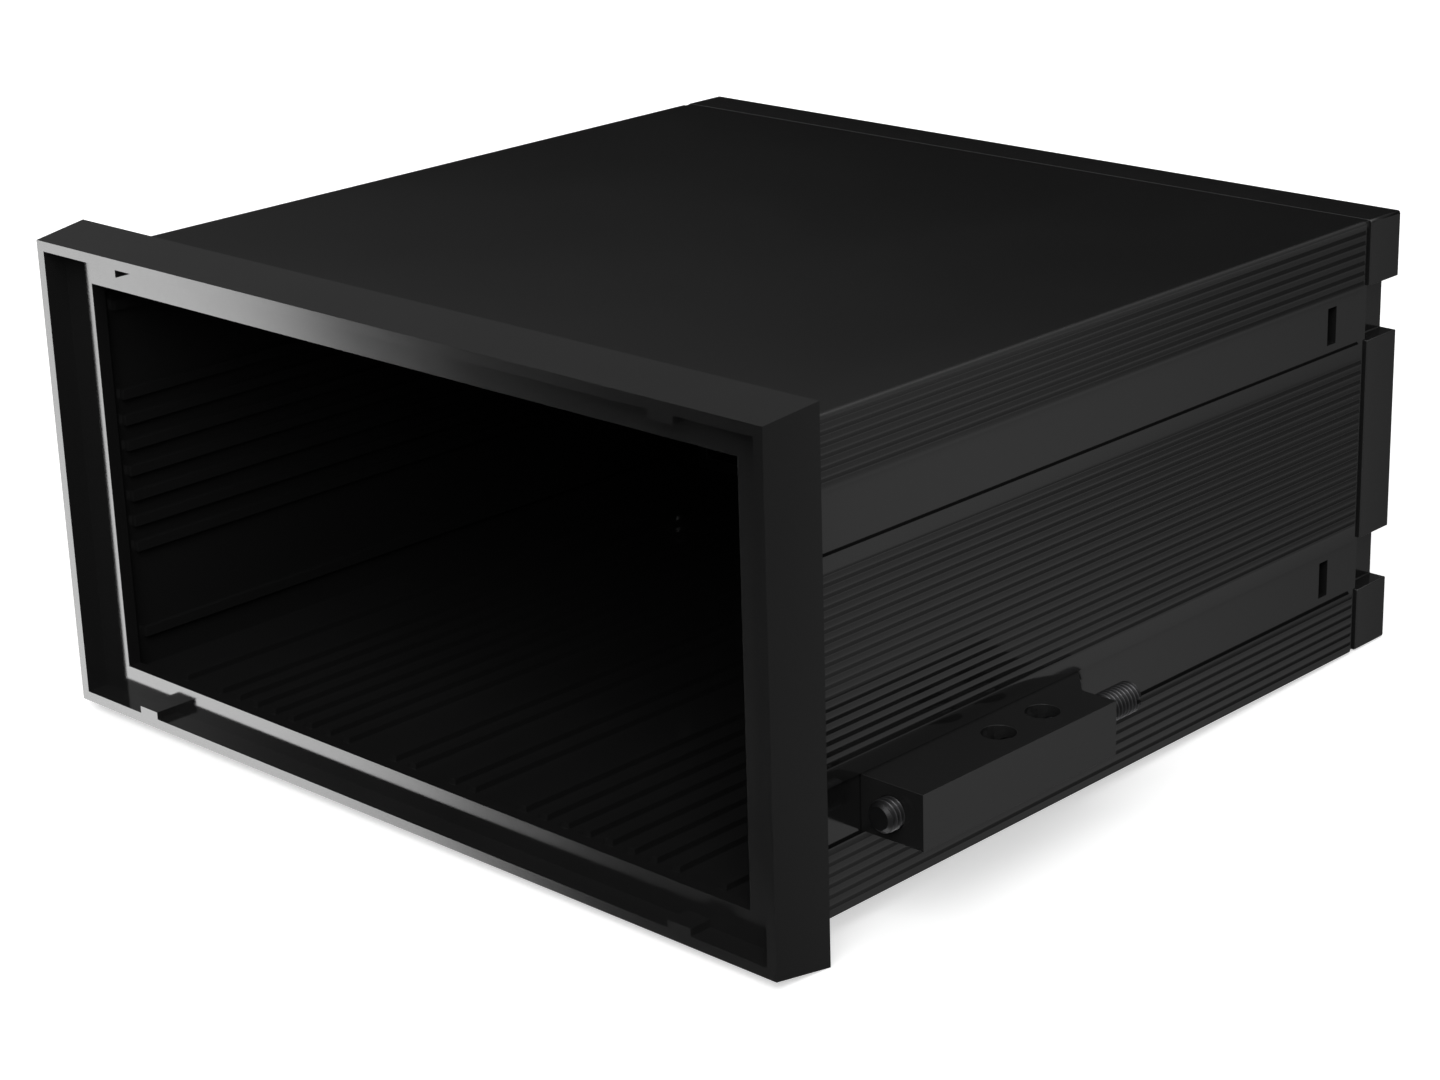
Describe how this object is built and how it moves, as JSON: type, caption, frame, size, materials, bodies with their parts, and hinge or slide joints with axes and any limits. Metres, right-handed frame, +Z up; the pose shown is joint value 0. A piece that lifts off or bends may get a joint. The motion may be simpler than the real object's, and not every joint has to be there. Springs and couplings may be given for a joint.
{
  "type": "panel mount enclosure",
  "caption": "Black panel mount instrument enclosure: flared bezel with a front recess, ribbed tube body with board guides, snap-in rear cover and sliding screw clamps.",
  "frame": {"origin": "middle of the body on the panel plane, which is the back face of the bezel", "axes": "+X right and +Z up as seen from the front, +Y through the panel towards the rear cover"},
  "size_m": [0.1054, 0.0936, 0.0494],
  "materials": {
    "housing_plastic": "smooth black moulding, half gloss",
    "clamp_plastic": "smooth black moulding, half gloss",
    "screw_steel": "blackened steel"
  },
  "bodies": {
    "enclosure": {"housing": "housing_plastic", "rear_cover": "housing_plastic"},
    "right_clamp": {"clamp_right": "clamp_plastic"},
    "left_clamp": {"clamp_left": "clamp_plastic"},
    "right_screw": {"screw_right": "screw_steel"},
    "left_screw": {"screw_left": "screw_steel"}
  },
  "joints": [
    {"name": "right_clamp_slide", "type": "slide", "parent": "enclosure", "child": "right_clamp", "axis": [0, 1, 0], "range_m": [-0.0045, 0.0445]},
    {"name": "left_clamp_slide", "type": "slide", "parent": "enclosure", "child": "left_clamp", "axis": [0, 1, 0], "range_m": [-0.0045, 0.0445]},
    {"name": "right_screw_turn", "type": "hinge", "parent": "right_clamp", "child": "right_screw", "pos_m": [0.0491, 0.0057, -0.013], "axis": [0, 1, 0], "continuous": true},
    {"name": "left_screw_turn", "type": "hinge", "parent": "left_clamp", "child": "left_screw", "pos_m": [-0.0491, 0.0057, 0.013], "axis": [0, 1, 0], "continuous": true}
  ]
}
